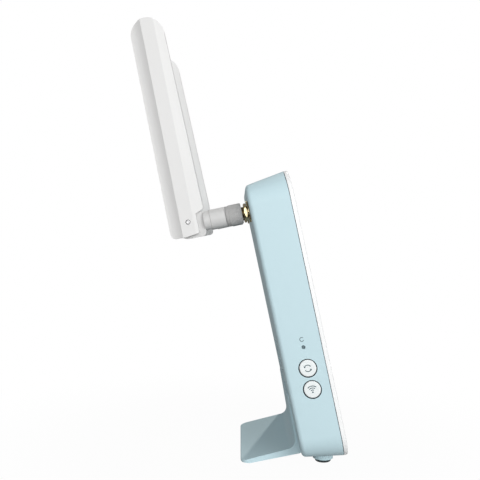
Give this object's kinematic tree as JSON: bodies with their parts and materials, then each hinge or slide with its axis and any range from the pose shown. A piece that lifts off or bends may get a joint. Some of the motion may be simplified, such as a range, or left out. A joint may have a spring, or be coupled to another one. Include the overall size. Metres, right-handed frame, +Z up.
{
  "type": "wireless network unit",
  "caption": "Slim desktop wireless unit leaning back on a bent stand, with a white front cover, pale blue tapered housing, side push buttons and folding paddle antennas on threaded jacks.",
  "frame": {"origin": "centre of the whole object's footprint box, on the surface that it stands on", "axes": "+Z up and along the longest extent, -Y out of the front cover side, +X to the viewer's right when facing the front, so the buttons are on the -X side"},
  "size_m": [0.12, 0.1128, 0.2361],
  "materials": {
    "case_blue": "fine satin moulding grain, pale blue",
    "cover_white": "smooth gloss, white",
    "button_cap": "smooth satin-gloss, white",
    "antenna_white": "fine matt moulding grain, off-white",
    "swivel_grey": "smooth matt, light grey",
    "nut_grey": "knurled matt, mid grey",
    "gold_brass": "bright gold plating",
    "steel": "bright zinc",
    "rubber": "matt, near black",
    "board_green": "solder mask over laminate",
    "shield_tin": "tinned sheet",
    "heatsink": "extruded, plain",
    "socket_black": "moulded, black",
    "thermal_pad": "soft silicone, grey-blue",
    "capacitor_sleeve": "shrink sleeve, dark",
    "lead_black": "coaxial lead jacket, black",
    "light_clear": "clear polished moulding"
  },
  "bodies": {
    "case": {"rear_housing": "case_blue", "stand": "case_blue", "front_cover": "cover_white", "light_guide": "light_clear", "case_screw_1": "steel", "case_screw_2": "steel", "case_screw_3": "steel", "case_screw_4": "steel", "board_screw_1": "steel", "board_screw_2": "steel", "board_screw_3": "steel", "board_screw_4": "steel", "stand_screw_1": "steel", "stand_screw_2": "steel", "foot_pad_1": "rubber", "foot_pad_2": "rubber", "pair_switch": "socket_black", "wireless_switch": "socket_black", "reset_switch": "socket_black", "ethernet_socket_1": "socket_black", "ethernet_socket_2": "socket_black", "power_inlet": "socket_black", "button_board": "board_green", "main_board": "board_green", "shield_can_1": "shield_tin", "shield_can_2": "shield_tin", "thermal_pad": "thermal_pad", "heat_spreader": "heatsink", "capacitor_1": "capacitor_sleeve", "capacitor_2": "capacitor_sleeve", "left_jack": "gold_brass", "left_jack_washer": "gold_brass", "left_jack_nut": "gold_brass", "left_pigtail": "lead_black", "right_jack": "gold_brass", "right_jack_washer": "gold_brass", "right_jack_nut": "gold_brass", "right_pigtail": "lead_black"},
    "left_nut": {"left_coupling_nut": "nut_grey"},
    "left_elbow": {"left_swivel": "swivel_grey", "left_contact": "gold_brass"},
    "left_antenna": {"left_blade": "antenna_white", "left_hinge_pin": "steel", "left_radiator": "board_green"},
    "right_nut": {"right_coupling_nut": "nut_grey"},
    "right_elbow": {"right_swivel": "swivel_grey", "right_contact": "gold_brass"},
    "right_antenna": {"right_blade": "antenna_white", "right_hinge_pin": "steel", "right_radiator": "board_green"},
    "pair_key": {"pair_button": "button_cap", "pair_plunger": "socket_black"},
    "wireless_key": {"wireless_button": "button_cap", "wireless_plunger": "socket_black"},
    "reset_key": {"reset_plunger": "socket_black"}
  },
  "joints": [
    {"name": "left_nut_spin", "type": "hinge", "parent": "case", "child": "left_nut", "pos_m": [-0.042, 0.00104, 0.13366], "axis": [0, 0.9781, -0.2079], "continuous": true},
    {"name": "left_swivel_turn", "type": "hinge", "parent": "case", "child": "left_elbow", "pos_m": [-0.042, 0.00788, 0.1322], "axis": [0, -0.9781, 0.2079], "range_deg": [-15, 180]},
    {"name": "left_tilt", "type": "hinge", "parent": "left_elbow", "child": "left_antenna", "pos_m": [-0.042, 0.02611, 0.12945], "axis": [-1, 0, 0], "range_deg": [0, 90]},
    {"name": "right_nut_spin", "type": "hinge", "parent": "case", "child": "right_nut", "pos_m": [0.042, 0.00104, 0.13366], "axis": [0, 0.9781, -0.2079], "continuous": true},
    {"name": "right_swivel_turn", "type": "hinge", "parent": "case", "child": "right_elbow", "pos_m": [0.042, 0.00788, 0.1322], "axis": [0, 0.9781, -0.2079], "range_deg": [-15, 180]},
    {"name": "right_tilt", "type": "hinge", "parent": "right_elbow", "child": "right_antenna", "pos_m": [0.042, 0.02611, 0.12945], "axis": [-1, 0, 0], "range_deg": [0, 90]},
    {"name": "pair_press", "type": "slide", "parent": "case", "child": "pair_key", "axis": [0.9878, -0.1526, 0.0324], "range_m": [0, 0.0005], "stiffness_N_per_m": 1000, "springref_m": -0.0004},
    {"name": "wireless_press", "type": "slide", "parent": "case", "child": "wireless_key", "axis": [0.9878, -0.1526, 0.0324], "range_m": [0, 0.0005], "stiffness_N_per_m": 1000, "springref_m": -0.0004},
    {"name": "reset_press", "type": "slide", "parent": "case", "child": "reset_key", "axis": [0.9878, -0.1526, 0.0324], "range_m": [0, 0.0004], "stiffness_N_per_m": 1000, "springref_m": -0.0003}
  ]
}
